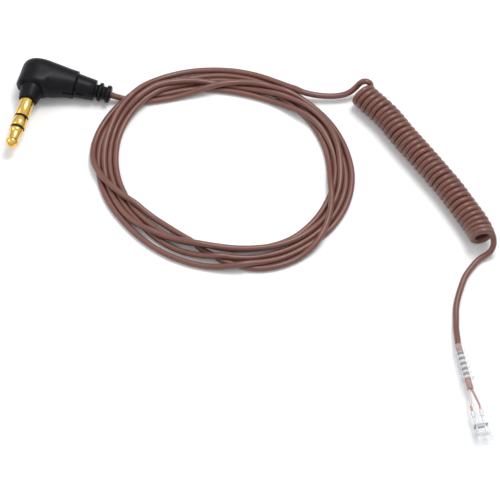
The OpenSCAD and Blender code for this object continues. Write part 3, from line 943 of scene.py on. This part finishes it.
def jacket_in_relief(cord, connector):
    """Jacket seen through the connector: bands of painted shade and painted highlight under the ribs, brown
    before and past them.
    """
    finish = Finish("jacket_in_connector", Specular_IOR_Level=0.4)
    place = connector_place(connector)
    turn = math.atan2(place.axes[0][1], place.axes[0][0])
    point = finish.node(
        "ShaderNodeMapping", inputs={"Vector": finish.object_point(), "Location": tuple(-place.origin)}
    ).outputs["Vector"]
    turned = finish.node(
        "ShaderNodeMapping", inputs={"Vector": point, "Rotation": (0, 0, -turn)}
    ).outputs["Vector"]
    along = finish.value(finish.node("ShaderNodeSeparateXYZ", inputs={"Vector": turned}).outputs["X"])
    ribs_start, ribs_end, rib_pitch = 0.0019, 0.0088, 0.00135
    under_ribs = along.above(ribs_start) * (1 - along.above(ribs_end))
    patches = finish.noise(finish.object_point(), 900, 3)
    brown = finish.blend(patches, cord.light, (0.4, 0.22, 0.18))
    # Painted shade and highlight: dark and pale grey bands, one pair for each rib, stand for the ribs' shade
    # and the light between them
    bands = along.wave(rib_pitch) ** 1.5 * 0.9 + (patches - 0.4) * 0.4
    rib_shade_bands = finish.blend(bands, (0.02, 0.016, 0.02), (0.75, 0.7, 0.71))
    finish.feed("Base Color", finish.blend(under_ribs, brown, rib_shade_bands))
    finish.feed("Roughness", 0.4 + patches * 0.15)
    return finish.material


def paint(material, *names):
    """Gives CAD nodes that stay their material."""
    for name in names:
        slots = NODES[name].data.materials
        slots.clear()
        slots.append(material)


def paint_nodes(scene, plug_black):
    """Materials of the CAD nodes that stay as they are."""
    plug, cord, connector = scene.cable_plug, scene.cable_cord, scene.cable_connector
    turn = plug_place(plug).axes[0]
    gold = gold_finish("lug_gold", plug.gold, -math.atan2(turn[1], turn[0]))
    paint(plug_black, "plug_inner_mould")
    paint(gold, "ring_lug", "tip_lug", "sleeve_lug")
    paint(
        moulded_finish("natural_insulator", (0.72, 0.7, 0.64), 0.45, 0.0002),
        "rod_insulator", "ring_tube_insulator", "ring_washer", "tip_washer",
    )
    paint(metal_finish("tinned", (0.62, 0.62, 0.64), 0.2, 3000), "plug_solder_joints")
    # The second colour of each is the painted shade at the piece's turned-away sides
    pin = rim_shaded_finish("contact_pin", (0.75, 0.75, 0.77), (0.02, 0.02, 0.025), 0.3)
    pale = rim_shaded_finish("core_pale", (0.75, 0.6, 0.57), (0.12, 0.07, 0.07), 0.35)
    russet = rim_shaded_finish("core_russet", (0.4, 0.2, 0.16), (0.06, 0.02, 0.02), 0.35)
    paint(pin, "left_contact", "right_contact")
    paint(pale, "tip_core_wire", "left_core_wire")
    paint(russet, "ring_core_wire", "right_core_wire")
    paint(metal_finish("bare_copper", (0.42, 0.2, 0.12), 0.3, 6000), "plug_screen_wire", "core_strands")
    paint(cord_end_finish(cord), "plug_cord_end")
    paint(jacket_in_relief(cord, connector), "connector_cord_end")
    paint(clear_finish("clear_holder", connector.tint, 0.08, 0.2), "contact_holder")


# ---------------------------------------------------------------- stage


def make_camera(stage):
    """Camera that looks down at the aim point from the front."""
    data = bpy.data.cameras.new("camera")
    data.lens = stage.lens
    data.sensor_width = 36
    camera = bpy.data.objects.new("camera", data)
    bpy.context.scene.collection.objects.link(camera)
    back = math.cos(stage.elevation) * stage.distance
    rise = math.sin(stage.elevation) * stage.distance
    camera.location = (stage.aim[0], stage.aim[1] - back, stage.aim[2] + rise)
    camera.rotation_euler = (math.pi / 2 - stage.elevation, 0, 0)
    data.clip_start = 0.01
    bpy.context.scene.camera = camera


def make_light(name, place, aim, size, power):
    """Square soft light that points at a place."""
    data = bpy.data.lights.new(name, "AREA")
    data.size = size
    data.energy = power
    light = bpy.data.objects.new(name, data)
    bpy.context.scene.collection.objects.link(light)
    light.location = place
    way = unit(np.array(place, float) - np.array(aim, float))
    light.rotation_euler = (math.acos(way[2]), 0, math.atan2(way[1], way[0]) + math.pi / 2)


def make_floor():
    """Plain white floor under the cable, wide enough for every view."""
    half = 1.5
    corners = np.array([(-half, -half, 0), (half, -half, 0), (half, half, 0), (-half, half, 0)], float)
    floor = make_mesh("floor", corners, np.array([[0, 1, 2, 3]]), [])
    finish = Finish("floor_white", Roughness=0.9, Specular_IOR_Level=0.1)
    mottle = finish.noise(finish.object_point(), 3, 1)
    finish.feed("Base Color", finish.blend(mottle, (0.88, 0.88, 0.885), (0.9, 0.9, 0.9)))
    floor.data.materials.append(finish.material)


def make_sky(strength):
    """Even surrounding light that is dimmer near the horizon than overhead."""
    world = bpy.data.worlds.new("studio")
    bpy.context.scene.world = world
    world.use_nodes = True
    nodes, links = world.node_tree.nodes, world.node_tree.links
    coordinate = nodes.new("ShaderNodeTexCoord")
    parts = nodes.new("ShaderNodeSeparateXYZ")
    ramp = nodes.new("ShaderNodeValToRGB")
    links.new(coordinate.outputs["Generated"], parts.inputs["Vector"])
    links.new(parts.outputs["Z"], ramp.inputs["Fac"])
    ramp.color_ramp.elements[0].position = 0.0
    ramp.color_ramp.elements[0].color = (0.42, 0.44, 0.5, 1)
    ramp.color_ramp.elements[1].position = 0.55
    ramp.color_ramp.elements[1].color = (0.98, 0.99, 1, 1)
    background = nodes["Background"]
    links.new(ramp.outputs["Color"], background.inputs["Color"])
    background.inputs["Strength"].default_value = strength


# ---------------------------------------------------------------- operators


class CABLE_OT_stage(bpy.types.Operator):
    """Set up the camera, the lights and the floor"""

    bl_idname = "cable.stage"
    bl_label = "Stage"

    def execute(self, context):
        stage = context.scene.cable_stage
        make_camera(stage)
        make_floor()
        make_sky(stage.sky)
        aim = tuple(stage.aim)
        make_light("key", (0.12, 0.17, 0.5), aim, 0.22, stage.key_power)
        make_light("fill", (-0.4, 0.0, 0.25), aim, 0.3, stage.key_power * 0.2)
        context.scene.view_settings.view_transform = "Standard"
        return {"FINISHED"}


class CABLE_OT_cord(bpy.types.Operator):
    """Lay the cord from the plug to the connector"""

    bl_idname = "cable.cord"
    bl_label = "Cord"

    def execute(self, context):
        make_cord(context.scene.cable_cord)
        return {"FINISHED"}


class CABLE_OT_contacts(bpy.types.Operator):
    """Turn the plug's gold contacts and black bands"""

    bl_idname = "cable.contacts"
    bl_label = "Contacts"

    def execute(self, context):
        make_contacts(context.scene.cable_plug)
        return {"FINISHED"}


class CABLE_OT_plug(bpy.types.Operator):
    """Mould the plug's elbow and strain relief, and finish the CAD pieces in them"""

    bl_idname = "cable.plug"
    bl_label = "Plug"

    def execute(self, context):
        black = make_plug_body(context.scene.cable_plug)
        paint_nodes(context.scene, black)
        return {"FINISHED"}


class CABLE_OT_connector(bpy.types.Operator):
    """Mould the clear headset connector"""

    bl_idname = "cable.connector"
    bl_label = "Connector"

    def execute(self, context):
        make_connector(context.scene.cable_connector)
        return {"FINISHED"}


class CABLE_PT_panel(bpy.types.Panel):
    """Steps that build the cable"""

    bl_idname = "CABLE_PT_panel"
    bl_label = "Microphone cable"
    bl_space_type = "VIEW_3D"
    bl_region_type = "UI"
    bl_category = "Cable"

    def draw(self, context):
        for step in STEPS:
            self.layout.operator(step.bl_idname)
        for group in SETTINGS:
            settings = getattr(context.scene, group)
            box = self.layout.box()
            for name in settings.bl_rna.properties.keys():
                if name not in ("rna_type", "name"):
                    box.prop(settings, name)


STEPS = (CABLE_OT_stage, CABLE_OT_contacts, CABLE_OT_plug, CABLE_OT_connector, CABLE_OT_cord)
SETTINGS = {
    "cable_stage": StageSettings,
    "cable_cord": CordSettings,
    "cable_plug": PlugSettings,
    "cable_connector": ConnectorSettings,
}


def register():
    for group in SETTINGS.values():
        bpy.utils.register_class(group)
    for step in STEPS:
        bpy.utils.register_class(step)
    bpy.utils.register_class(CABLE_PT_panel)
    for name, group in SETTINGS.items():
        setattr(bpy.types.Scene, name, PointerProperty(type=group))


def unregister():
    for name in SETTINGS:
        delattr(bpy.types.Scene, name)
    bpy.utils.unregister_class(CABLE_PT_panel)
    for step in reversed(STEPS):
        bpy.utils.unregister_class(step)
    for group in SETTINGS.values():
        bpy.utils.unregister_class(group)


def main():
    """Builds the cable with the add-on's operators."""
    register()
    bpy.ops.cable.stage()
    bpy.ops.cable.contacts()
    bpy.ops.cable.plug()
    bpy.ops.cable.connector()
    bpy.ops.cable.cord()


if __name__ == "__main__":
    main()
